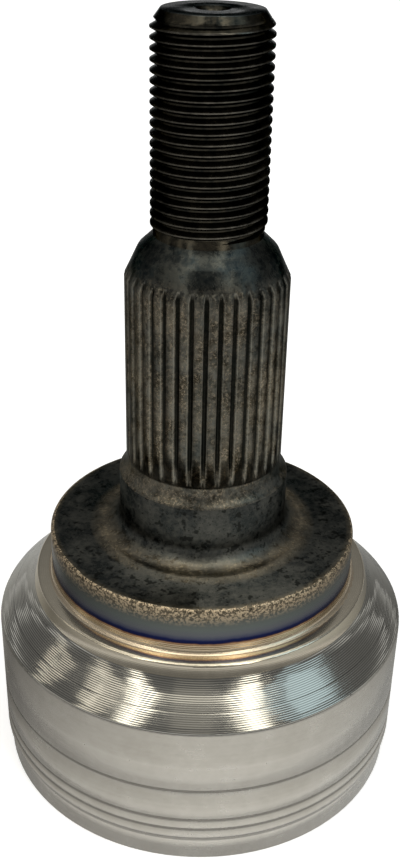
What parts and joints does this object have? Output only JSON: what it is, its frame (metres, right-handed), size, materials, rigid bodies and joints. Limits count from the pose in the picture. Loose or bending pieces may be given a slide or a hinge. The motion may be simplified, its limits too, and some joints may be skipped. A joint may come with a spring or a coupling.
{
  "type": "cv joint",
  "caption": "Fixed ball-type constant velocity joint: bell with a splined, threaded stub shaft, holding a caged ball race that tilts about its centre.",
  "frame": {"origin": "centre of the bell's rim, on the surface that the joint stands on", "axes": "+Z along the stub shaft from the bell's mouth to the threaded end; the inner race tilts about X"},
  "size_m": [0.0954, 0.0954, 0.1715],
  "materials": {
    "turned_steel": "turned bell with dark heat-treated stub",
    "ground_steel": "ground",
    "phosphated_steel": "dark phosphate",
    "polished_steel": "polished",
    "spring_steel": "blackened"
  },
  "bodies": {
    "outer_race": {"outer_race": "turned_steel"},
    "inner_race": {"inner_race": "ground_steel", "circlip": "spring_steel"},
    "cage": {"cage": "phosphated_steel"},
    "ball_1": {"ball_1": "polished_steel"},
    "ball_2": {"ball_2": "polished_steel"},
    "ball_3": {"ball_3": "polished_steel"},
    "ball_4": {"ball_4": "polished_steel"},
    "ball_5": {"ball_5": "polished_steel"},
    "ball_6": {"ball_6": "polished_steel"}
  },
  "joints": [
    {"name": "articulation", "type": "hinge", "parent": "outer_race", "child": "inner_race", "pos_m": [0, 0, 0.021], "axis": [1, 0, 0], "range_deg": [-45, 45]},
    {"name": "cage_tilt", "type": "hinge", "parent": "outer_race", "child": "cage", "pos_m": [0, 0, 0.021], "axis": [1, 0, 0], "range_deg": [-23, 23]},
    {"name": "ball_1_travel", "type": "hinge", "parent": "outer_race", "child": "ball_1", "pos_m": [0, 0, 0.021], "axis": [1, 0, 0], "range_deg": [-23, 23]},
    {"name": "ball_2_travel", "type": "hinge", "parent": "outer_race", "child": "ball_2", "pos_m": [0, 0, 0.019], "axis": [0.866, -0.5, 0], "range_deg": [-20, 20]},
    {"name": "ball_3_travel", "type": "hinge", "parent": "outer_race", "child": "ball_3", "pos_m": [0, 0, 0.019], "axis": [0.866, 0.5, 0], "range_deg": [-20, 20]},
    {"name": "ball_4_travel", "type": "hinge", "parent": "outer_race", "child": "ball_4", "pos_m": [0, 0, 0.021], "axis": [1, 0, 0], "range_deg": [-23, 23]},
    {"name": "ball_5_travel", "type": "hinge", "parent": "outer_race", "child": "ball_5", "pos_m": [0, 0, 0.019], "axis": [-0.866, 0.5, 0], "range_deg": [-20, 20]},
    {"name": "ball_6_travel", "type": "hinge", "parent": "outer_race", "child": "ball_6", "pos_m": [0, 0, 0.019], "axis": [-0.866, -0.5, 0], "range_deg": [-20, 20]}
  ],
  "couplings": [
    {"joint": "cage_tilt", "follows": "articulation", "ratio": 0.5},
    {"joint": "ball_1_travel", "follows": "articulation", "ratio": 0.5},
    {"joint": "ball_2_travel", "follows": "articulation", "ratio": 0.436},
    {"joint": "ball_3_travel", "follows": "articulation", "ratio": 0.436},
    {"joint": "ball_4_travel", "follows": "articulation", "ratio": 0.5},
    {"joint": "ball_5_travel", "follows": "articulation", "ratio": -0.436},
    {"joint": "ball_6_travel", "follows": "articulation", "ratio": -0.436}
  ]
}
